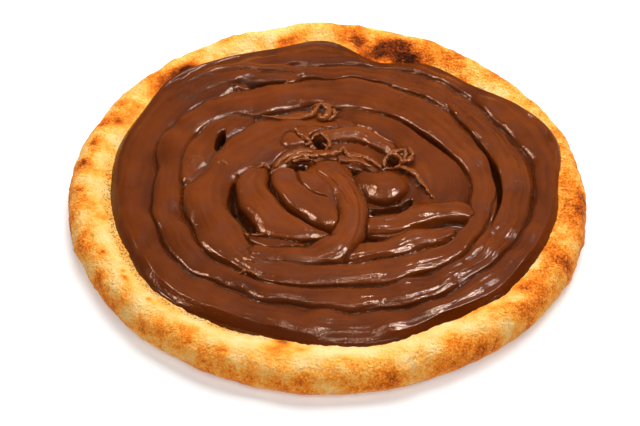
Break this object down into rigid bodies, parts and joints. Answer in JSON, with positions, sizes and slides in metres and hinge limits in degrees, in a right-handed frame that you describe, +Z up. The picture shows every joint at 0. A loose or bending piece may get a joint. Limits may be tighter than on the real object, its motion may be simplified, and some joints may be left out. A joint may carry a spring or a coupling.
{
  "type": "chocolate sfiha",
  "caption": "Open round flatbread with a raised golden crust, its well filled with thick chocolate spread swirled in a spiral by a knife.",
  "frame": {"origin": "on the surface the bread rests on, under the middle of its bounding box", "axes": "+Z up through the bread's thickness, -Y towards the viewer of the shown side, +X to the viewer's right"},
  "size_m": [0.1386, 0.1387, 0.0117],
  "materials": {
    "crust": "baked dough, golden to pale with toasted and burnt patches, fine grain",
    "chocolate": "glossy soft chocolate spread with knife streaks"
  },
  "bodies": {
    "root": {"bread": "crust", "chocolate_spread": "chocolate"}
  },
  "joints": []
}
